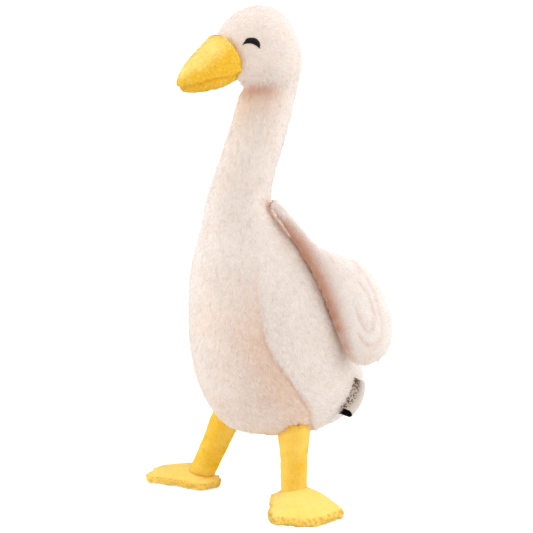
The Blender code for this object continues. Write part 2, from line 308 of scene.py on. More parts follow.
def closeness(points, others, near, far):
    # 1 where a point lies within the near distance of any of the others, 0 beyond the far
    # one. Squared distances come from the lengths of both rows less twice their product
    low, high = others.min(0) - far, others.max(0) + far
    inside = np.all((points > low) & (points < high), axis=1)
    value = np.zeros(len(points))
    some = points[inside]
    if len(some):
        box = some.min(0) - far, some.max(0) + far
        others = others[np.all((others > box[0]) & (others < box[1]), axis=1)]
    if len(some) and len(others):
        square = (some**2).sum(1)[:, None] + (others**2).sum(1)[None] - 2 * some @ others.T
        value[inside] = 1 - smooth(near, far, np.sqrt(np.maximum(square.min(1), 0)))
    return value


# Meshes in and out of arrays

def meshPoints(mesh):
    # The points of a mesh, a row each
    points = np.empty(len(mesh.vertices) * 3, np.float32)
    mesh.vertices.foreach_get("co", points)
    return points.reshape(-1, 3).astype(float)


def readMesh(mesh):
    # Points, and the corners of the square faces
    corners = np.empty(len(mesh.loops), np.int32)
    mesh.loops.foreach_get("vertex_index", corners)
    return meshPoints(mesh), corners.reshape(-1, 4)


def movePoints(piece, points):
    piece.data.vertices.foreach_set("co", points.astype(np.float32).ravel())


def normalsOf(points, squares):
    # Normal at each point: the cross products of the diagonals of the squares round it, summed
    # and scaled to length one
    a, b, c, d = (points[squares[:, i]] for i in range(4))
    face = np.cross(c - a, d - b)
    total = np.zeros_like(points)
    for i in range(4):
        np.add.at(total, squares[:, i], face)
    return unit(total)


def putMesh(name, points, faces, corners, fields=None, normals=None, cells=None):
    # A mesh from arrays: all faces have the same number of corners. fields are values at the
    # points, cells are the places of the corners on the map for baking
    mesh = bpy.data.meshes.new(name)
    mesh.vertices.add(len(points))
    mesh.loops.add(faces.size)
    mesh.polygons.add(len(faces))
    mesh.vertices.foreach_set("co", points.astype(np.float32).ravel())
    mesh.loops.foreach_set("vertex_index", faces.astype(np.int32).ravel())
    mesh.polygons.foreach_set("loop_start", np.arange(0, faces.size, corners, dtype=np.int32))
    mesh.update(calc_edges=True)
    mesh.validate()
    mesh.shade_smooth()
    for field, values in (fields or {}).items():
        layer = mesh.attributes.new(field, "FLOAT", "POINT")
        layer.data.foreach_set("value", np.asarray(values, np.float32))
    if cells is not None:
        chart = mesh.uv_layers.new(name="OFBake")
        chart.data.foreach_set("uv", cells.astype(np.float32).ravel())
    if normals is not None:
        mesh.normals_split_custom_set_from_vertices(normals.astype(np.float32))
    piece = bpy.data.objects.new(name, mesh)
    scene.collection.objects.link(piece)
    return piece


def cellsFor(count, shape):
    # Places for count small shapes in the cells of a square grid over the map for baking
    side = math.ceil(math.sqrt(count))
    spot = np.arange(count)
    base = np.stack([spot % side, spot // side], 1)[:, None, :]
    return (base + np.asarray(shape)[None, :, :]) / side


# Stuffed pieces: each starts as its solid's surface, redrawn in even squares and drawn in by
# the height of its nap, and its stuffing then presses it out as far as its cap
padding = {
    "bodySkin": {"node": "body", "square": 0.0042, "inset": 0.0024, "cap": 0.0012, "fill": 0.85},
    "beakSkin": {"node": "beak", "square": 0.0023, "inset": 0.0010, "cap": 0.0005, "fill": 0.9},
}
pairs = {
    "wing": {"square": 0.0034, "inset": 0.0022, "cap": 0.0014, "fill": 0.6},
    "leg": {"square": 0.0023, "inset": 0.0012, "cap": 0.0006, "fill": 0.9, "stretched": True},
    "foot": {"square": 0.0023, "inset": 0.0012, "cap": 0.0007, "fill": 0.5},
}
for kind, size in pairs.items():
    for side in ("Left", "Right"):
        padding[kind + side] = {"node": f"{kind}_{side.lower()}", **size}
legEnds = {"down": 0.0022, "up": 0.0060, "bell": 0.16, "bellShares": (0.5, 0.85), "topShare": 0.55}
stuffing = {"pressure": 4.0, "quality": 4, "frames": 20, "smoothing": 3}


def carriedOut(piece):
    # The piece's mesh with its modifiers carried out
    bpy.context.view_layer.update()
    graph = bpy.context.evaluated_depsgraph_get()
    mesh = bpy.data.meshes.new_from_object(piece.evaluated_get(graph))
    piece.modifiers.clear()
    piece.data = mesh


def startSkin(name, node, square, inset, stretched=False, **_):
    # A copy of the solid's surface: merged, redrawn in even squares, softened and drawn in
    mesh = nodes[node].data.copy()
    mesh.materials.clear()
    cage = bmesh.new()
    cage.from_mesh(mesh)
    bmesh.ops.remove_doubles(cage, verts=cage.verts, dist=1e-5)
    cage.to_mesh(mesh)
    cage.free()
    piece = bpy.data.objects.new(name, mesh)
    scene.collection.objects.link(piece)
    redraw = piece.modifiers.new("evenSquares", "REMESH")
    redraw.mode = "VOXEL"
    redraw.voxel_size = square
    soften = piece.modifiers.new("soften", "SMOOTH")
    soften.factor = 0.5
    soften.iterations = stuffing["smoothing"]
    drawIn = piece.modifiers.new("drawIn", "DISPLACE")
    drawIn.strength = -inset
    drawIn.mid_level = 0
    carriedOut(piece)
    if stretched:
        stretchLeg(piece)
    return piece


def stretchLeg(piece):
    # The lower and upper end of a leg move out, each end's move fading to none at the other
    # end, so that the leg meets what it joins. Its top widens like a bell
    points = meshPoints(piece.data)
    low, high = points[:, 2].min(), points[:, 2].max()
    share = (points[:, 2] - low) / (high - low)
    points[:, 2] += legEnds["up"] * share - legEnds["down"] * (1 - share)
    middle = points[share > legEnds["topShare"]].mean(0)
    flare = legEnds["bell"] * smooth(*legEnds["bellShares"], share)[:, None] * np.array([1, 1, 0])
    points += (points - middle) * flare
    movePoints(piece, points)


def stuff(pieces):
    # Air pressure inside each skin, without weight, for a few frames of cloth. No point moves
    # further than its cap, so a pad stays in the space of its solid
    before = {}
    for name, piece in pieces.items():
        before[name] = meshPoints(piece.data)
        cloth = piece.modifiers.new("stuffing", "CLOTH")
        cloth.settings.use_pressure = True
        cloth.settings.uniform_pressure_force = stuffing["pressure"]
        cloth.settings.quality = stuffing["quality"]
        cloth.settings.effector_weights.gravity = 0
        cloth.collision_settings.use_collision = False
        cloth.point_cache.frame_start = 1
        cloth.point_cache.frame_end = stuffing["frames"]
    for step in range(1, stuffing["frames"] + 1):
        scene.frame_set(step)
    for name, piece in pieces.items():
        carriedOut(piece)
        start = before[name]
        move = meshPoints(piece.data) - start
        size = np.linalg.norm(move, axis=1, keepdims=True)
        move *= np.minimum(1, padding[name]["cap"] / np.maximum(size, 1e-9))
        movePoints(piece, start + move)
    scene.frame_set(1)


def roundOff(piece):
    # One round of subdivision
    rounding = piece.modifiers.new("rounding", "SUBSURF")
    rounding.levels = 1
    rounding.render_levels = 1


def fineSkin(piece):
    # The rounded skin as points and squares
    roundOff(piece)
    carriedOut(piece)
    return readMesh(piece.data)


# The top of each wing lies against the neck: it moves inwards and forwards, more the higher
wingTop = {"heights": (0.216, 0.242), "inwards": 0.0022, "forwards": 0.0016}


def leanWing(points):
    top = smooth(*wingTop["heights"], points[:, 2])
    points[:, 0] -= np.sign(points[:, 0] - plan["middleX"]) * wingTop["inwards"] * top
    points[:, 1] -= wingTop["forwards"] * top


skins = {name: startSkin(name, **size) for name, size in padding.items()}
print("skins cut")
stuff(skins)
print("stuffed")
skinShapes = {name: fineSkin(piece) for name, piece in skins.items()}
leanWing(skinShapes["wingLeft"][0])
leanWing(skinShapes["wingRight"][0])
bodyPoints = skinShapes["bodySkin"][0]


def pointsOf(*names):
    # Every third point of some skins, enough to tell how close a place is to them
    return np.concatenate([skinShapes[name][0][::3] for name in names])


wingPoints = pointsOf("wingLeft", "wingRight")
yellowPoints = pointsOf("beakSkin", "legLeft", "legRight")
legPoints = pointsOf("legLeft", "legRight")
footPoints = pointsOf("footLeft", "footRight")
bodyNear = pointsOf("bodySkin")

# Front edge of the wings: a height and the foremost place of the pad there
edgeHeights = np.linspace(0.112, 0.242, 27)
edgePlaces = np.array([wingPoints[np.abs(wingPoints[:, 2] - height) < 0.003, 1].min()
                       for height in edgeHeights])


# Seams and creases of the body. The belly panel meets the side panels along a line from the
# front of the neck down to the underside, given as bearings from the front and heights
bodySeams = {
    "panelSeam": ((12, 0.240), (24, 0.226), (30, 0.213), (35, 0.185), (38, 0.163), (40, 0.144),
                  (45, 0.127), (50.5, 0.117), (56.5, 0.107), (62, 0.097), (67, 0.090), (72, 0.083),
                  (75, 0.077), (78, 0.070), (84, 0.064), (92, 0.060)),
    # The shades are painted shade: in the seams' valleys, below the cheek, by the wings, round the
    # yellow parts
    "panelDepth": 0.0014, "panelLip": 0.0012, "panelReach": 0.0034, "panelShade": 0.30,
    "panelEnds": (0.205, 0.238), "faintAbove": (0.130, 0.180), "faint": 0.18,
    "backDepth": 0.0009, "backReach": 0.0028, "backShade": 0.4,
    "cheekHeight": 0.3262, "cheekDepth": 0.0036, "cheekBulge": 0.0016, "cheekShade": 0.50,
    "wingShade": 0.50, "wingNear": (0.0030, 0.0070),
    "yellowShade": 0.26, "yellowNear": (0.0010, 0.0035),
}

# Where the stuffing stands out or falls in
bodyFilling = {"crown": 0.0022, "besideWings": 0.0040, "brow": 0.0020}

# Shares of the warmer colour: on the belly panel its own tint and mottling, and painted shade
# for the throat below the cheek, the panel near its seam, the underside and the body beside the wings
bodyWarmth = {"all": 0.08, "neck": 0.10, "throat": 0.5, "panel": 0.06, "seam": 0.86,
              "seamReach": 0.020, "under": 0.36, "mottling": 0.14,
              "wings": 0.6, "wingNear": (0.0040, 0.0110)}


def bearings(points):
    # Bearing from the front and height, as lengths on a sheet wrapped round the body
    x = np.abs(points[:, 0] - plan["middleX"])
    y = points[:, 1] - plan["bodyAxisY"]
    return np.stack([np.arctan2(x, -y) * plan["girth"], points[:, 2]], 1)


def panelSeam(points, up):
    # Seam of the belly panel: a valley along its line, with painted shade in it, and a lip outside
    # it, both faint higher up. Inside it the panel is warm, and painted shade warms it most of all
    # near the seam and underneath
    z = points[:, 2]
    seam = np.array(bodySeams["panelSeam"], float)
    seam[:, 0] = np.radians(seam[:, 0]) * plan["girth"]
    gap, side = offLine(bearings(points), curveThrough(seam, 120))
    onBody = 1 - smooth(*bodySeams["panelEnds"], z)
    reach, faint = bodySeams["panelReach"], bodySeams["faint"]
    strength = onBody * (faint + (1 - faint) * (1 - smooth(*bodySeams["faintAbove"], z)))
    lip = bell(gap, reach, reach) * (side > 0)
    valley = bell(gap, 0, reach / 1.8)
    rise = strength * (lip * bodySeams["panelLip"] - valley * bodySeams["panelDepth"])
    shade = bodySeams["panelShade"] * strength * bell(gap, 0, reach / 2.2)
    onPanel = (side < 0) * onBody
    under = 1 - smooth(-0.55, 0.25, up[:, 2])
    nearSeam = bell(gap, 0, bodyWarmth["seamReach"]) * (1 - smooth(0.13, 0.21, z))
    warm = onPanel * (bodyWarmth["panel"] + bodyWarmth["seam"] * nearSeam
                      + bodyWarmth["under"] * under
                      + bodyWarmth["mottling"] * ripple(points, 0.030, 71))
    return rise, shade, warm


def cheekFold(points):
    # Fold between cheek and throat, in front only: how far it rises, a bell of bulge less a bell of
    # valley, the painted shade below the cheek, and the painted shade that warms it further down
    front = 1 - smooth(-0.018, 0.004, points[:, 1])
    off = points[:, 2] - bodySeams["cheekHeight"]
    bulge = bell(off, 0.0075, 0.0060) * bodySeams["cheekBulge"]
    valley = bell(off, -0.0030, 0.0042) * bodySeams["cheekDepth"]
    below = bell(off, -0.0045, 0.0055) * (off < 0.002)
    return (bulge - valley) * front, below * front, bell(off, -0.014, 0.012) * front


def filling(points, up):
    # The crown rises with height, the body is fuller in a bell ahead of the wings' front edge,
    # and the brow is drawn in where the head faces forwards and up
    z = points[:, 2]
    aside = smooth(0.02, 0.035, np.abs(points[:, 0] - plan["middleX"]))
    behind = points[:, 1] - np.interp(z, edgeHeights, edgePlaces)
    beside = bell(behind, -0.004, 0.009) * smooth(0.116, 0.140, z) * (1 - smooth(0.200, 0.225, z))
    brow = smooth(0.60, 0.95, up @ np.array([0, -0.75, 0.66])) * smooth(0.342, 0.356, z)
    return (bodyFilling["crown"] * smooth(0.360, 0.382, z)
            + bodyFilling["besideWings"] * beside * aside - bodyFilling["brow"] * brow)


def bodyDent(points, up):
    # How far the skin is drawn in (below zero) or stands up, how much painted shade the place gets,
    # and how warm its colour. The heights and the warmth are sums, the shade is the largest of its
    # parts
    z = points[:, 2]
    rise, shade, warm = panelSeam(points, up)
    behind = smooth(0.0, 0.01, points[:, 1] - backLine(z))
    groove = bell(points[:, 0], plan["middleX"], bodySeams["backReach"]) * behind
    foldRise, below, throat = cheekFold(points)
    rise += foldRise - groove * bodySeams["backDepth"] + filling(points, up)
    # Painted shade in the back groove, below the cheek, near the wings and round the beak and legs
    byWings = closeness(points, wingPoints, *bodySeams["wingNear"])
    byYellow = closeness(points, yellowPoints, *bodySeams["yellowNear"])
    for part in (bodySeams["backShade"] * groove, bodySeams["cheekShade"] * below,
                 bodySeams["wingShade"] * byWings, bodySeams["yellowShade"] * byYellow):
        shade = np.maximum(shade, part)
    warm += bodyWarmth["all"] + bodyWarmth["neck"] * smooth(0.20, 0.26, z)
    warm += bodyWarmth["throat"] * throat
    warm += bodyWarmth["wings"] * closeness(points, wingPoints, *bodyWarmth["wingNear"])
    return rise, np.clip(shade, 0, 1), np.clip(warm, 0, 1)


def backLine(height):
    # Fore and aft place of the middle of the body, neck and head at a height
    onNeck = plan["neckRootY"] + (height - plan["neckRoot"]) * math.tan(plan["neckLean"])
    blend = smooth(plan["neckRoot"] - 0.04, plan["neckRoot"] + 0.01, height)
    return plan["bodyAxisY"] * (1 - blend) + onNeck * blend


# Crease of the beak, as places fore and aft and heights, from the tip to the seam
mouth = {"line": ((-0.0850, 0.3244), (-0.0800, 0.3258), (-0.0730, 0.3275), (-0.0640, 0.3300),
                  (-0.0540, 0.3322), (-0.0430, 0.3340), (-0.0340, 0.3350)),
         "depth": 0.0018, "reach": 0.0013, "shade": 0.62, "fade": 0.010, "notch": 0.8}
# The seam and curl shades, and the low and base warmth, are painted shade
beakForm = {"base": (-0.060, -0.044), "swell": 0.0018, "proud": 0.0003, "seamShade": 0.4,
            "curlSize": 0.0024, "curlShade": 0.44}
beakWarmth = {"all": 0.06, "low": 1.45, "base": 0.36, "mottling": 0.18, "most": 0.88}

# Quilting of the wings: nested lines sewn through the pad, as places fore and aft and heights
wingQuilting = {
    "outerLine": ((0.0265, 0.1990), (0.0340, 0.1890), (0.0430, 0.1720), (0.0475, 0.1540),
                  (0.0490, 0.1400), (0.0420, 0.1315), (0.0325, 0.1330), (0.0262, 0.1410)),
    "innerLine": ((0.0300, 0.1800), (0.0370, 0.1690), (0.0410, 0.1560), (0.0400, 0.1455),
                  (0.0345, 0.1425), (0.0290, 0.1490), (0.0240, 0.1620)),
    "upperLine": ((-0.0150, 0.2370), (-0.0070, 0.2270), (0.0020, 0.2110), (0.0105, 0.1960)),
    # shade is painted shade along the sewn lines
    "depth": 0.0012, "reach": 0.0015, "shade": 0.32,
}

# Painted shade in the crevice along the front edge of the wings: its width at some heights. The
# wing's foot gets a warm painted shade
wingEdge = {"heights": (0.112, 0.122, 0.150, 0.190, 0.215, 0.236),
            "widths": (0.0006, 0.0018, 0.0038, 0.0052, 0.0044, 0.0018),
            "shade": 0.96, "core": 1.20, "topLoss": 0.80, "warmFoot": 0.45}


def wingDent(points, up):
    # Soft valleys along the quilting lines on both faces of the pad, with painted shade in them. A
    # wing gets painted shade where it faces the body and is near it, and from its front edge
    # backwards, by the exponential of minus the distance over the width. Painted shade warms it
    # towards its lower end
    z = points[:, 2]
    sewn = np.zeros(len(points))
    for name in ("outerLine", "innerLine", "upperLine"):
        gap, _ = offLine(points[:, 1:3], curveThrough(wingQuilting[name], 60))
        sewn = np.maximum(sewn, bell(gap, 0, wingQuilting["reach"]))
    inward = -np.sign(points[:, 0] - plan["middleX"]) * up[:, 0]
    facing = smooth(-0.35, 0.35, inward) * closeness(points, bodyNear, 0.0060, 0.0140)
    behind = np.clip(points[:, 1] - np.interp(z, edgeHeights, edgePlaces), 0, None)
    width = np.interp(z, wingEdge["heights"], wingEdge["widths"])
    crevice = np.clip(wingEdge["core"] * np.exp(-behind / width), 0, 1)
    crevice *= (1 - wingEdge["topLoss"] * smooth(0.222, 0.238, z)) * smooth(0.108, 0.122, z)
    shade = np.maximum(wingQuilting["shade"] * sewn, facing)
    shade = np.maximum(shade, wingEdge["shade"] * crevice)
    warm = wingEdge["warmFoot"] * (1 - smooth(0.112, 0.138, z))
    return -sewn * wingQuilting["depth"], shade, warm


def beakDent(points, up):
    # The crease where the beak's halves meet, low on each side, deeper at its tip, with painted
    # shade in it. The beak swells towards its base. Painted shade darkens its seam with the head,
    # warms its under side and its base, and darkens small curls of the pile there
    fromTip = points[:, 1] - mouth["line"][0][0]
    gap, _ = offLine(points[:, 1:3], curveThrough(mouth["line"], 50))
    fade = smooth(0.0, mouth["fade"], mouth["line"][-1][0] - points[:, 1])
    crease = bell(gap, 0, mouth["reach"]) * (0.35 + 0.65 * fade)
    tip = 1 - smooth(0.0, 0.006, fromTip + 0.001)
    low = 1 - smooth(-0.2, 0.75, up[:, 2])
    above = smooth(-0.2, 0.6, up[:, 2])
    base = smooth(*beakForm["base"], points[:, 1])
    curls = smooth(0.10, 0.70, ripple(points, beakForm["curlSize"], 77))
    curls *= np.clip(0.15 + low + 0.5 * base, 0, 1)
    warm = (beakWarmth["all"] + beakWarmth["low"] * low + beakWarmth["base"] * base
            + beakWarmth["mottling"] * ripple(points, 0.012, 72))
    seam = closeness(points, bodyNear, 0.0006, 0.0032)
    shade = np.maximum(mouth["shade"] * crease, beakForm["seamShade"] * seam)
    shade = np.maximum(shade, beakForm["curlShade"] * curls)
    rise = beakForm["proud"] + beakForm["swell"] * base * (1 - 0.15 * above)
    rise -= crease * mouth["depth"] * (1 + mouth["notch"] * tip)
    return rise, shade, np.clip(warm, 0, beakWarmth["most"])


# The seam shade and the right leg's extra warmth are painted shade
legForm = {"proud": 0.0013, "seamShade": 0.5, "warm": 0.48, "mottling": 0.16, "rightLegShade": 0.26}


def legDent(points, up):
    # A leg is smooth. It gets painted shade where it meets the belly and the foot, and the right
    # leg a warmer painted shade all over
    meets = np.maximum(closeness(points, bodyNear, 0.0010, 0.0050),
                       closeness(points, footPoints, 0.0006, 0.0030))
    onRight = points[:, 0] < plan["middleX"]
    warm = (legForm["warm"] + legForm["mottling"] * ripple(points, 0.014, 73)
            + legForm["rightLegShade"] * onRight)
    rise = np.full(len(points), legForm["proud"])
    return rise, legForm["seamShade"] * meets, np.clip(warm, 0, 1)


# The left foot is wider than its solid, and its heel, round the place given, is higher
# The dot and seam shades, and the right foot's warmth, are painted shade
footForm = {"heel": (0.0560, 0.0080), "heelReach": 0.028, "wider": 0.0024, "higher": 0.0058,
            "uneven": 0.0007, "dotShade": 0.62, "seamShade": 0.55}
footWarmth = {"all": 0.02, "band": 0.30, "mottling": 0.05, "right": 0.12}


def footDent(points, up):
    # A foot's upright band is deeper in colour, uneven and dotted with small curls of painted shade,
    # and its top is pale. Painted shade darkens it where it meets the leg and warms the right foot.
    # The left foot's band moves out, and its top rises in a bell over the heel
    edge = 1 - smooth(0.35, 0.80, up[:, 2])
    onLeft = points[:, 0] > plan["middleX"]
    fromHeel = np.linalg.norm(points[:, :2] - np.array(footForm["heel"]), axis=1)
    heel = bell(fromHeel, 0, footForm["heelReach"])
    rise = edge * footForm["uneven"] * ripple(points, 0.006, 74)
    rise += onLeft * (edge * footForm["wider"] + (1 - edge) * footForm["higher"] * heel)
    dots = edge * smooth(0.15, 0.60, ripple(points, 0.0022, 76))
    meets = closeness(points, legPoints, 0.0006, 0.0035)
    shade = np.maximum(footForm["seamShade"] * meets, footForm["dotShade"] * dots)
    warm = (footWarmth["all"] + footWarmth["band"] * edge
            + footWarmth["mottling"] * ripple(points, 0.012, 75) + footWarmth["right"] * ~onLeft)
    return rise, shade, np.clip(warm, 0, 1)


# Nap: short tufts of fibre, each a thin closed spike with three long sides and a foot in the skin,
# leaning along the lay of the cloth. The share says how many of the places hold one, lift is the
# angle off the skin and swirl and scatter turn the lay, all in degrees, clump is how far a lock's
# tips lean together, contrast sets the locks' tones and a further share makes them paler as painted
# light, and bend and raise turn the normals that the light falls on, to the tuft's own sides and
# upwards
napOf = {
    "body": {"share": 0.72, "length": 0.0032, "width": 0.00074, "lift": 24, "swirl": 28,
             "scatter": 17, "clump": 0.42, "contrast": 1.0, "paintedLight": 0.0, "bend": 0.34, "raise": 0.0},
    # The wing's nap is made paler as painted light
    "wing": {"share": 0.78, "length": 0.0026, "width": 0.00072, "lift": 23, "swirl": 18,
             "scatter": 14, "clump": 0.40, "contrast": 0.8, "paintedLight": 0.8, "bend": 0.34, "raise": 0.0},
    "beak": {"share": 0.78, "length": 0.0011, "width": 0.00054, "lift": 34, "swirl": 60,
             "scatter": 34, "clump": 0.60, "contrast": 1.0, "paintedLight": 0.0, "bend": 1.4, "raise": 0.1},
    "leg": {"share": 0.60, "length": 0.0012, "width": 0.00054, "lift": 22, "swirl": 18,
            "scatter": 14, "clump": 0.50, "contrast": 0.6, "paintedLight": 0.0, "bend": 1.6, "raise": 0.0},
    "foot": {"share": 0.70, "length": 0.0013, "width": 0.00056, "lift": 28, "swirl": 34,
             "scatter": 28, "clump": 0.50, "contrast": 0.6, "paintedLight": 0.0, "bend": 1.6, "raise": 0.7},
}


# What chance gives each tuft: its place in its part of a square, its lock's middle along the
# square's diagonal, its angle off the skin at least and at most, and shares of length and width
tuftRange = {"place": (0.05, 0.95), "hub": (-0.4, 0.4), "lift": (5, 85), "length": (0.7, 1.25),
             "width": (0.75, 1.3)}
# Thickness as a share of the width, and how far up a tuft its two feet, its back and its tip are
tuftForm = {"thickness": 1.6, "upTuft": (0.0, 0.0, 0.12, 1.0)}
# How much each turn, angle, length and tone owes to a ripple of some size, to the tuft's own
# chance and to its lock's
uneven = {"turnWide": (0.6, 0.011), "turnClose": (0.7, 0.0042), "turnChance": 0.5, "turnLock": 0.8,
          "lift": (0.35, 0.006), "liftChance": 0.15, "liftLock": 0.25, "length": (0.18, 0.005),
          "tone": (0.45, 0.004), "toneChance": 0.45, "toneLock": 0.65}


def tuftFaces(count):
    # The four faces of each of count tufts, and the places of their corners on the map
    pattern = np.array([[0, 3, 1], [1, 3, 2], [2, 3, 0], [0, 1, 2]])
    chart = np.array([(0.08, 0.08), (0.92, 0.08), (0.5, 0.35), (0.5, 0.92)])
    faces = (np.arange(count)[:, None, None] * 4 + pattern[None]).reshape(-1, 3)
    return faces, cellsFor(count, chart)[:, pattern.ravel(), :].reshape(-1, 2)


def tuftsOn(points, squares, dent, flow, kind, seed, keep, perSide=2):
    # Tufts on every square of a skin, a jittered few to a square. Each foot is the blend of
    # the square's corners; each tip lies a length away, between the lay and the normal. The
    # tufts of a square lean together into one lock by the clump share
    size = napOf[kind]
    dice = np.random.default_rng(seed)
    normals = normalsOf(points, squares)
    count = len(squares)
    cell = np.stack(np.meshgrid(np.arange(perSide), np.arange(perSide)), -1).reshape(-1, 2)
    share = (cell[None] + dice.uniform(*tuftRange["place"], (count, perSide**2, 2))) / perSide
    s, t = share[..., 0, None], share[..., 1, None]

    def blended(values):
        a, b, c, d = (values[squares[:, i]][:, None, :] for i in range(4))
        return ((a * (1 - s) + b * s) * (1 - t) + (d * (1 - s) + c * s) * t).reshape(-1, 3)

    foot, up = blended(points), unit(blended(normals))
    lock = np.repeat(np.arange(count), perSide**2)
    diagonal = points[squares[:, 1]] - points[squares[:, 3]]
    hub = points[squares].mean(1) + dice.uniform(*tuftRange["hub"], (count, 1)) * diagonal
    mood = dice.normal(size=(count, 3))
    kept = keep(foot, up) & (dice.random(len(foot)) < size["share"])
    foot, up, lock = foot[kept], up[kept], lock[kept]
    pull = (hub[lock] - foot) * size["clump"]
    rise, shade, panel = inSlices(dent, foot, up)
    foot = foot + up * rise[:, None]
    lay, length, lift = flow(foot, up)
    lay = unit(lay - (lay * up).sum(1, keepdims=True) * up)
    across = np.cross(up, lay)
    n = len(foot)

    def waves(which, number):
        # A ripple over the feet, of its own size, by its amount
        amount, wave = uneven[which]
        return amount * ripple(foot, wave, seed + number)

    turn = np.radians(size["swirl"]) * (waves("turnWide", 1) + waves("turnClose", 2))
    turn += np.radians(size["scatter"]) * (uneven["turnChance"] * dice.normal(size=n)
                                           + uneven["turnLock"] * mood[lock, 0])
    lay = lay * np.cos(turn)[:, None] + across * np.sin(turn)[:, None]
    across = np.cross(up, lay)
    raised = np.radians(size["lift"]) * lift
    raised = raised * (1 + waves("lift", 3) + uneven["liftChance"] * dice.normal(size=n)
                       + uneven["liftLock"] * mood[lock, 1])
    raised = np.clip(raised, *np.radians(tuftRange["lift"]))[:, None]
    run = lay * np.cos(raised) + up * np.sin(raised)
    over = up * np.cos(raised) - lay * np.sin(raised)
    reach = size["length"] * length * (1 + waves("length", 4))
    reach = (reach * dice.uniform(*tuftRange["length"], n))[:, None]
    half = size["width"] / 2 * dice.uniform(*tuftRange["width"], (n, 1))
    sunk = foot - up * half
    corners = np.stack([sunk + across * half, sunk - across * half,
                        sunk + over * half * tuftForm["thickness"],
                        foot + run * reach + pull], 1).reshape(-1, 3)
    corners[:, 2] = np.maximum(corners[:, 2], overFloor)
    tone = (uneven["toneChance"] * dice.normal(size=n) + uneven["toneLock"] * mood[lock, 2]
            + waves("tone", 5))
    tone = np.repeat(tone * size["contrast"] + size["paintedLight"], 4)
    fields = {"tip": np.tile(tuftForm["upTuft"], n), "tone": tone,
              "shade": np.repeat(shade, 4), "panel": np.repeat(panel, 4)}
    shaded = unit(up + size["raise"] * np.array([0, 0, 1.0]))[:, None, :]
    sides = np.stack([across - 0.2 * up, -across - 0.2 * up, 0.5 * over, 0.4 * run], 1)
    normals = unit(shaded + size["bend"] * sides).reshape(-1, 3)
    return {"points": corners, "fields": fields, "normals": normals, "foot": foot}


bodyLays = {"head": (0, 1.0, -0.35), "neck": (0, -0.25, -1.0), "side": (0, 0.35, -1.0),
            "under": (0, 1.0, -0.25)}


def bodyLay(points, up):
    # Lay of the body's nap: back over the head, down the neck and the sides, and rearwards
    # under the belly, each by its share of the place
    z = points[:, 2]
    onHead = smooth(plan["throat"] - 0.006, plan["throat"] + 0.014, z)
    onNeck = smooth(plan["neckRoot"] - 0.02, plan["neckRoot"] + 0.015, z) * (1 - onHead)
    low = 1 - smooth(0.085, 0.135, z)
    onBody = (1 - onHead) * (1 - onNeck)
    shares = {"head": onHead, "neck": onNeck, "side": onBody * (1 - low), "under": onBody * low}
    away = sum(share[:, None] * np.array(bodyLays[part]) for part, share in shares.items())
    seat = np.array([plan["middleX"], plan["throatY"] - 0.0165, plan["throat"] + 0.0165])
    beside = 1 - smooth(0.018, 0.027, np.linalg.norm(points - seat, axis=1))
    length = (1 - 0.28 * onHead) * (1 - 0.45 * beside)
    lift = 1 + 0.15 * ripple(points, 0.03, 901)
    return away, length, lift


def steadyLay(towards, fan=0.0):
    # A lay in one direction, which fans out fore and aft of the wing's middle by its share

    def lay(points, up):
        away = np.tile(np.array(towards, float), (len(points), 1))
        away[:, 1] += fan * (points[:, 1] - plan["wingMiddleY"])
        return away, np.ones(len(points)), np.ones(len(points))

    return lay


wingLay = steadyLay((0, 0.55, -1), fan=6.0)      # down and to the rear
beakLay = steadyLay((0, -1, -0.4))               # from the seam to the tip
legLay = steadyLay((0, 0, -1))                   # straight down


# Length and lift of a foot's nap on top, and how much more they are round the edge
footNap = {"length": (0.70, 0.80), "lift": (0.5, 1.4)}


def footLay(name):
    # The lay of one foot, from the middle of its own solid
    low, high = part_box(padding[name]["node"])
    middle = np.array([(low[0] + high[0]) / 2, (low[1] + high[1]) / 2, 0])

    def lay(points, up):
        # Lay of a foot's nap: outwards from the middle, pressed flat on top, and standing up
        # round the edge
        away = points - middle
        away[:, 2] = 0
        edge = 1 - smooth(0.35, 0.75, up[:, 2])
        length, lift = (onTop + more * edge for onTop, more in (footNap["length"], footNap["lift"]))
        return away, length, lift

    return lay


def offTheFloor(points, up):
    # Everywhere but on the sole
    return ~((points[:, 2] < 0.0016) & (up[:, 2] < -0.7))


def everyTuft(points, up):
    # Every place may bear a tuft
    return np.ones(len(points), bool)


# Materials

plushPattern = {"patches": 42, "patchDetail": 3, "patchRoughness": 0.6,
                "towardsTip": 0.85, "paintedShadeShare": 0.9}


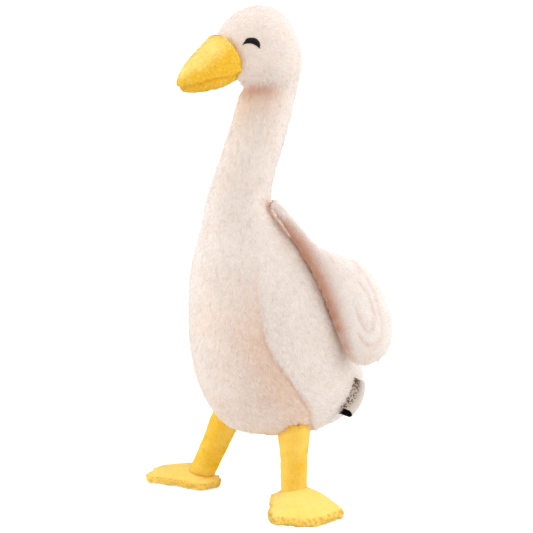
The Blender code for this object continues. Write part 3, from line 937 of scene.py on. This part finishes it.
def makePlushGroup():
    # Colour of a pile cloth: roots deeper than tips as painted shade down in the pile, a warmer
    # colour by the warm share, which is partly the panel's own tint and partly painted shade, each
    # lock a little deeper or paler, large soft patches where the pile was stroked, and painted shade
    # by the shade field in seams, creases and where parts meet
    colours = ("Tip Colour", "Shaded Root Colour", "Warm Colour", "Deep Colour", "Pale Colour", "Painted Shade Colour")
    given = [(label, "NodeSocketColor", (0.5, 0.5, 0.5, 1)) for label in colours]
    given += [(label, "NodeSocketFloat", 0.1) for label in ("Lock Contrast", "Patch Contrast")]
    group, taken, made = addGroup("plush", given, (("Colour", "NodeSocketColor"),))
    new = group.nodes.new
    ask = taken.outputs
    where = new("ShaderNodeTexCoord").outputs["Object"]
    fields = {field: fieldOf(group, field) for field in ("tip", "tone", "shade", "panel")}
    patches = noiseNode(group, where, plushPattern["patches"], plushPattern["patchDetail"],
                        plushPattern["patchRoughness"])
    # Painted shade down in the pile: towards the root the colour goes to the shaded root colour
    upTuft = mathNode(group, "POWER", fields["tip"], plushPattern["towardsTip"])
    pile = mixColours(group, upTuft, ask["Shaded Root Colour"], ask["Tip Colour"])
    # The warm share: partly the panel's own tint, partly painted shade
    warmth = mathNode(group, "MULTIPLY", fields["panel"], 1.0, True)
    pile = mixColours(group, warmth, pile, ask["Warm Colour"], "MULTIPLY")
    level = mathNode(group, "MULTIPLY", fields["tone"], ask["Lock Contrast"])
    offMiddle = mathNode(group, "SUBTRACT", patches, 0.5)
    patch = mathNode(group, "MULTIPLY", offMiddle, ask["Patch Contrast"])
    level = mathNode(group, "ADD", level, patch)
    deeper = mathNode(group, "MULTIPLY", level, -1.0, True)
    paler = mathNode(group, "MULTIPLY", level, 1.0, True)
    deep = mixColours(group, 1.0, pile, ask["Deep Colour"], "MULTIPLY")
    pile = mixColours(group, deeper, pile, deep)
    pile = mixColours(group, paler, pile, ask["Pale Colour"])
    # Painted shade: the shade field mixes in the painted shade colour
    paintedShadeMix = mathNode(group, "MULTIPLY", fields["shade"], plushPattern["paintedShadeShare"], True)
    pile = mixColours(group, paintedShadeMix, pile, ask["Painted Shade Colour"])
    group.links.new(pile, made.inputs["Colour"])
    return group


def plushMaterial(name, group, look):
    # The plush group's colour on a rough shader with a soft sheen
    material, tree, shader = newMaterial(name)
    cloth = tree.nodes.new("ShaderNodeGroup")
    cloth.node_tree = group
    setSockets(cloth, {label: value for label, value in look.items() if label in cloth.inputs})
    tree.links.new(cloth.outputs["Colour"], shader.inputs["Base Color"])
    setSockets(shader, {"Roughness": look["roughness"], "Specular IOR Level": 0.08,
                        "Sheen Weight": look["sheen"], "Sheen Roughness": 0.40,
                        "Sheen Tint": look["sheenTint"]})
    return material


looks = {
    "creamPlush": {
        "Tip Colour": (0.985, 0.95, 0.915), "Shaded Root Colour": (0.73, 0.61, 0.53),
        "Warm Colour": (0.97, 0.81, 0.70), "Deep Colour": (0.70, 0.60, 0.55),
        "Pale Colour": (1.0, 0.985, 0.97), "Painted Shade Colour": (0.50, 0.175, 0.068),
        "Lock Contrast": 0.21, "Patch Contrast": 0.50,
        "roughness": 0.95, "sheen": 0.35, "sheenTint": (1.0, 0.98, 0.96),
    },
    "yellowPlush": {
        "Tip Colour": (1.0, 0.83, 0.30), "Shaded Root Colour": (0.96, 0.68, 0.14),
        "Warm Colour": (0.88, 0.66, 0.04), "Deep Colour": (0.86, 0.56, 0.20),
        "Pale Colour": (1.0, 0.86, 0.33), "Painted Shade Colour": (0.72, 0.30, 0.015),
        "Lock Contrast": 0.34, "Patch Contrast": 0.45,
        "roughness": 0.9, "sheen": 0.06, "sheenTint": (1.0, 0.92, 0.60),
    },
}
plushGroup = makePlushGroup()
plush = {name: plushMaterial(name, plushGroup, look) for name, look in looks.items()}


def finished(piece, material, replaced=()):
    # Its material, the body it rides on, and the solids that it stands for
    piece.data.materials.clear()
    piece.data.materials.append(material)
    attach(piece, "root")
    if replaced:
        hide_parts(*replaced)
    return piece


def dentedSkin(points, squares, dent):
    # The skin moved along its normals by the rise of its seams and swellings
    normals = normalsOf(points, squares)
    rise, shade, panel = inSlices(dent, points, normals)
    points = points + normals * rise[:, None]
    points[:, 2] = np.maximum(points[:, 2], overFloor)
    # The skin under the nap takes mostly the shaded root colour: painted shade
    fields = {"tip": np.full(len(points), 0.15), "tone": np.zeros(len(points)),
              "shade": shade, "panel": panel}
    return points, squares, fields, normalsOf(points, squares)


def pickTufts(tufts, chosen):
    # Some of the tufts, as a set of their own. A tuft has four points
    keep = np.repeat(chosen, 4)
    fields = {field: values[keep] for field, values in tufts["fields"].items()}
    return {"points": tufts["points"][keep], "fields": fields,
            "normals": tufts["normals"][keep], "foot": tufts["foot"][chosen]}


def putSkin(name, points, squares, fields, normals, material, slotName):
    # The cloth itself, under its nap
    bpy.data.objects.remove(skins[name])
    chart = cellsFor(len(squares), [(0.04, 0.04), (0.96, 0.04), (0.96, 0.96), (0.04, 0.96)])
    piece = putMesh(name, points, squares, 4, fields, normals, chart.reshape(-1, 2))
    finished(piece, material, (padding[name]["node"],))


def putNap(name, tufts, material):
    # The nap casts no shadow on itself: light passes through real fibres
    faces, cells = tuftFaces(len(tufts["foot"]))
    nap = putMesh(name, tufts["points"], faces, 3, tufts["fields"], tufts["normals"], cells)
    nap.visible_shadow = False
    nap.visible_diffuse = False
    finished(nap, material)
    print(name, len(faces), "triangles")


def makePad(name, dent, flow, kind, keep, material, slotName, seed):
    # A padded piece and its nap
    points, squares = skinShapes[name]
    tufts = tuftsOn(points, squares, dent, flow, kind, seed, keep)
    putSkin(name, *dentedSkin(points, squares, dent), material, slotName)
    putNap(name.replace("Skin", "") + "Nap", tufts, material)


def makeBody():
    # The body's skin is one piece, and its nap is two, below and above the middle tuft
    points, squares = skinShapes["bodySkin"]
    tufts = tuftsOn(points, squares, bodyDent, bodyLay, "body", 11, clearOfEyesAndBeak)
    putSkin("bodySkin", *dentedSkin(points, squares, bodyDent), plush["creamPlush"], "fur")
    border = np.median(tufts["foot"][:, 2])
    for part, chosen in (("bodyNapLow", tufts["foot"][:, 2] < border),
                         ("bodyNapHigh", tufts["foot"][:, 2] >= border)):
        putNap(part, pickTufts(tufts, chosen), plush["creamPlush"])


def eyeFrame(node):
    # Middle and axes of an eye from its own solid: along it, up across it, and out of the head
    points = meshPoints(nodes[node].data)
    middle = (points.min(0) + points.max(0)) / 2
    axes = np.linalg.svd(points - points.mean(0), full_matrices=False)[2]
    along, out = axes[0], axes[2]
    skull = np.array([plan["middleX"], plan["throatY"] + 0.02, middle[2]])
    if out @ (middle - skull) < 0:
        out = -out
    up = np.cross(out, along)
    if up[2] < 0:
        up, along = -up, -along
    return middle, along, up, out, np.ptp((points - middle) @ along), np.ptp((points - middle) @ up)


eyes = {"eyeLeft": "eye_left", "eyeRight": "eye_right"}
eyeFrames = {name: eyeFrame(node) for name, node in eyes.items()}


# Where the body bears no tufts: round each eye, by shares of its length and height, and under
# the beak's base, on a seat that faces forwards and down
bare = {"eyeLength": 0.52, "eyeHeight": 0.62, "eyeDepth": 0.01,
        "seatTilt": math.radians(22), "seatAhead": 0.0100, "seatReach": 0.042,
        "seatDepth": 0.0022, "seatFacing": 0.8}


def clearOfEyesAndBeak(points, up):
    # No tufts grow through an eye's threads or behind the beak's seam
    kept = np.ones(len(points), bool)
    for middle, along, upward, out, long, high in eyeFrames.values():
        off = points - middle
        aside = (off @ along) / (long * bare["eyeLength"])
        above = (off @ upward) / (high * bare["eyeHeight"])
        kept &= ~((aside**2 + above**2 < 1) & (np.abs(off @ out) < bare["eyeDepth"]))
    seat = np.array([plan["middleX"], plan["throatY"] - bare["seatAhead"], plan["throat"]])
    forward = np.array([0, -math.cos(bare["seatTilt"]), -math.sin(bare["seatTilt"])])
    near = np.linalg.norm(points - seat, axis=1) < bare["seatReach"]
    inFront = (points - seat) @ forward > -bare["seatDepth"]
    return kept & ~(near & inFront & (up @ forward > bare["seatFacing"]))


# Eyes: satin stitches side by side across a crescent. The heights are shares of the eye's own,
# and blunt is how full the crescent's front end is
eyeStitches = {"count": 26, "thread": 0.00044, "steps": 9, "sides": 6, "length": 1.03,
               "arch": 1.10, "hollow": 0.24, "low": 0.44, "slant": 0.22, "puff": 0.0013,
               "sunk": 0.0003, "droop": 0.0022, "blunt": 18.0}


def settle(points, out, skinPoints, reach=0.0022, around=0.03, deep=0.012):
    # Points moved along one direction onto a skin, by the mean of the skin points near each
    # line, weighted by how near they are
    flat = points - (points @ out)[:, None] * out
    near = skinPoints[np.linalg.norm(skinPoints - points.mean(0), axis=1) < around]
    level = near @ out
    nearFlat = near - level[:, None] * out
    weight = np.exp(-((flat[:, None] - nearFlat[None]) ** 2).sum(2) / (2 * reach**2))
    weight *= (level > (points.mean(0) @ out) - deep)[None]
    return flat + (weight @ level / weight.sum(1))[:, None] * out


def threads(paths, radius, sides):
    # Round threads along many paths at once: a ring at each step, square to the path, its
    # radius falling to nothing at both ends
    count, steps, _ = paths.shape
    run = unit(np.gradient(paths, axis=1))
    guess = np.where(np.abs(run[..., 2:3]) < 0.9, np.array([0, 0, 1.0]), np.array([1.0, 0, 0]))
    across = unit(np.cross(run, guess))
    other = np.cross(run, across)
    turn = np.linspace(0, 2 * math.pi, sides, endpoint=False)
    place = np.linspace(0, 1, steps)
    width = radius * np.sqrt(np.clip(1 - (2 * place - 1) ** 6, 0.02, 1))
    ring = (across[:, :, None] * np.cos(turn)[None, None, :, None]
            + other[:, :, None] * np.sin(turn)[None, None, :, None])
    points = paths[:, :, None] + ring * width[None, :, None, None]
    index = np.arange(count * steps * sides).reshape(count, steps, sides)
    a, b = index[:, :-1], index[:, 1:]
    quads = np.stack([a, np.roll(a, -1, 2), np.roll(b, -1, 2), b], -1).reshape(-1, 4)
    faces = np.concatenate([quads[:, [0, 1, 2]], quads[:, [0, 2, 3]]])
    points = points.reshape(-1, 3)
    for end, order in ((0, 1), (steps - 1, -1)):
        tip = np.arange(count) + len(points)
        points = np.concatenate([points, paths[:, end]])
        rim = index[:, end]
        fan = np.stack([np.repeat(tip, sides), np.roll(rim, -1, 1).ravel(), rim.ravel()], 1)
        faces = np.concatenate([faces, fan[:, ::order]])
    return points, faces


def makeEye(name, skinPoints, material):
    # Crescent: its upper edge is half an ellipse, blunter ahead, and its lower edge a flatter
    # one. A stitch goes from edge to edge at each place along it and humps up in the middle
    middle, along, upward, out, long, high = eyeFrames[name]
    s = np.linspace(-0.985, 0.985, eyeStitches["count"])[:, None]
    t = np.linspace(0, 1, eyeStitches["steps"])[None, :]
    arc = np.sqrt(1 - s**2)
    ahead = s * np.sign(along[1]) * np.sign(out[0]) < 0
    upper = np.sqrt(1 - np.abs(s) ** np.where(ahead, eyeStitches["blunt"], 2.0))
    top = high * (upper * eyeStitches["arch"] - eyeStitches["low"])
    bottom = high * (arc * eyeStitches["hollow"] - eyeStitches["low"])
    y = bottom + (top - bottom) * t - eyeStitches["droop"] * ahead * np.abs(s) ** 1.5
    x = s * long / 2 * eyeStitches["length"] + (t - 0.5) * eyeStitches["slant"] * (top - bottom)
    flat = middle + x[..., None] * along + y[..., None] * upward
    base = settle(flat.reshape(-1, 3), out, skinPoints).reshape(flat.shape)
    puff = eyeStitches["puff"] * (0.35 + 0.65 * arc) * np.sin(math.pi * t) ** 0.6
    paths = base + (puff - eyeStitches["sunk"])[..., None] * out
    points, faces = threads(paths, eyeStitches["thread"], eyeStitches["sides"])
    piece = putMesh(name, points, faces, 3)
    finished(piece, material, (eyes[name],))


threadLook = {"twists": 2600, "dark": (0.0015, 0.0015, 0.002), "light": (0.009, 0.009, 0.010),
              "bump": 0.5, "bumpHeight": 0.0002}


def threadMaterial():
    # Black embroidery thread: twisted strands that catch a little light
    material, tree, shader = newMaterial("blackThread")
    where = tree.nodes.new("ShaderNodeTexCoord").outputs["Object"]
    twist = noiseNode(tree, where, threadLook["twists"], 2, 0.6)
    colour = mixColours(tree, twist, threadLook["dark"], threadLook["light"])
    tree.links.new(colour, shader.inputs["Base Color"])
    bumpFrom(tree, twist, threadLook["bump"], threadLook["bumpHeight"], shader)
    setSockets(shader, {"Roughness": 0.5, "Specular IOR Level": 0.12})
    return material


# Label: a folded loop of bare woven tape that follows the curve of the rump
label = {"width": 0.028, "proud": 0.0088, "gap": 0.0052, "thickness": 0.0007, "buried": 0.004,
         "sag": 0.0014, "slant": 0.0020, "flare": 0.36, "rows": 15, "foldSteps": 15, "sideSteps": 5}


def makeLabel(skinPoints, materials):
    # A profile, out from the skin, round a half ellipse and back, carried along the seam. Its
    # feet follow the skin, its fold bows out between the two ends, and its lower end is cut
    # at a slant
    solid = meshPoints(nodes["label_tape"].data)
    middle = solid.mean(0)
    seam = np.linalg.svd(solid - middle, full_matrices=False)[2][0]
    seam *= np.sign(seam[2])
    out = middle - np.array([plan["middleX"], plan["bodyAxisY"], middle[2]])
    out = unit((out - (out @ seam) * seam)[None])[0]
    spread = np.cross(out, seam)
    s = np.linspace(-0.5, 0.5, label["rows"])
    rest = middle + s[:, None] * label["width"] * seam
    rest = settle(rest, out, skinPoints, 0.004)
    bend = label["gap"] / 2
    reach = label["proud"] - bend + label["buried"]
    steps = label["sideSteps"]
    straight = np.linspace(0, reach, steps + 1)[:-1] - label["buried"]
    turn = np.linspace(-math.pi / 2, math.pi / 2, label["foldSteps"])
    fold = reach - label["buried"] + bend * np.cos(turn)
    outward = np.concatenate([straight, fold, straight[::-1]])
    sideways = np.concatenate([np.full(steps, -bend), bend * np.sin(turn), np.full(steps, bend)])
    bow = label["sag"] * (1 - (2 * s) ** 2)
    longer = 1 + label["flare"] * (0.5 - s)
    shear = label["slant"] * (0.5 - s)[:, None] * (sideways / bend)[None]
    height = outward[None, :, None] * longer[:, None, None] + bow[:, None, None]
    grid = rest[:, None] + height * out + sideways[None, :, None] * spread + shear[..., None] * seam
    rows, columns = grid.shape[:2]
    index = np.arange(rows * columns).reshape(rows, columns)
    faces = np.stack([index[:-1, :-1], index[1:, :-1], index[1:, 1:], index[:-1, 1:]], -1)
    piece = putMesh("labelTape", grid.reshape(-1, 3), faces.reshape(-1, 4), 4,
                    {"proud": np.tile(np.clip(outward / label["proud"], 0, 1), rows),
                     "along": np.repeat(s + 0.5, columns)})
    thick = piece.modifiers.new("thickness", "SOLIDIFY")
    thick.thickness = label["thickness"]
    thick.offset = 0
    thick.material_offset = 1
    roundOff(piece)
    finished(piece, materials[0], ("label_tape",))
    piece.data.materials.append(materials[1])


# Tape: how many ribs, flecks and blots, where its fold begins to show, and its colours. The
# colour near the skin is deeper with painted shade
tapeLook = {"ribs": 180.0, "ribShare": 0.22, "flecks": 900, "blots": 620, "blotLevel": 0.44,
            "blotEdge": 9.0, "foldFrom": 0.38, "foldTo": 0.80, "bump": 0.6, "bumpHeight": 0.0003,
            "blot": (0.10, 0.065, 0.05), "nearSkin": (0.60, 0.52, 0.45),
            "foldDeep": (0.54, 0.48, 0.42), "foldPale": (0.76, 0.70, 0.63)}


def tapeMaterial():
    # Woven tape: fine ribs across it, mottled near the skin and deeper there with painted shade,
    # and lighter along its fold
    material, tree, shader = newMaterial("wovenTape")
    where = tree.nodes.new("ShaderNodeTexCoord").outputs["Object"]
    ribs = mathNode(tree, "SINE", mathNode(tree, "MULTIPLY", fieldOf(tree, "along"), tapeLook["ribs"]))
    flecks = noiseNode(tree, where, tapeLook["flecks"], 2, 0.6)
    blots = mathNode(tree, "SUBTRACT", noiseNode(tree, where, tapeLook["blots"], 2, 0.5),
                     tapeLook["blotLevel"])
    blots = mathNode(tree, "MULTIPLY", blots, tapeLook["blotEdge"], True)
    weave = mathNode(tree, "ADD", mathNode(tree, "MULTIPLY", ribs, tapeLook["ribShare"]), flecks)
    weave = mathNode(tree, "MULTIPLY", weave, 0.9, True)
    light = tree.nodes.new("ShaderNodeMapRange")
    light.interpolation_type = "SMOOTHSTEP"
    light.inputs["From Min"].default_value = tapeLook["foldFrom"]
    light.inputs["From Max"].default_value = tapeLook["foldTo"]
    tree.links.new(fieldOf(tree, "proud"), light.inputs["Value"])
    near = mixColours(tree, blots, tapeLook["blot"], tapeLook["nearSkin"])
    fold = mixColours(tree, weave, tapeLook["foldDeep"], tapeLook["foldPale"])
    colour = mixColours(tree, light.outputs["Result"], near, fold)
    tree.links.new(colour, shader.inputs["Base Color"])
    bumpFrom(tree, weave, tapeLook["bump"], tapeLook["bumpHeight"], shader)
    setSockets(shader, {"Roughness": 0.8})
    return material


def tapeInside():
    # Black for the inside faces of the loop
    material, _, shader = newMaterial("tapeInside")
    setSockets(shader, {"Base Color": (0.004, 0.004, 0.004), "Roughness": 0.9,
                        "Specular IOR Level": 0.1})
    return material


makeBody()
cream, yellow = plush["creamPlush"], plush["yellowPlush"]
for name, seed in (("wingLeft", 21), ("wingRight", 22)):
    makePad(name, wingDent, wingLay, "wing", everyTuft, cream, "fur", seed)
makePad("beakSkin", beakDent, beakLay, "beak", everyTuft, yellow, "yellow_plush", 31)
for name, seed in (("legLeft", 41), ("legRight", 42)):
    makePad(name, legDent, legLay, "leg", everyTuft, yellow, "yellow_plush", seed)
for name, seed in (("footLeft", 51), ("footRight", 52)):
    makePad(name, footDent, footLay(name), "foot", offTheFloor, yellow, "yellow_plush", seed)
thread = threadMaterial()
for name in eyes:
    makeEye(name, bodyPoints, thread)
makeLabel(bodyPoints, (tapeMaterial(), tapeInside()))
print("pieces made")

scene.view_settings.view_transform = "Standard"
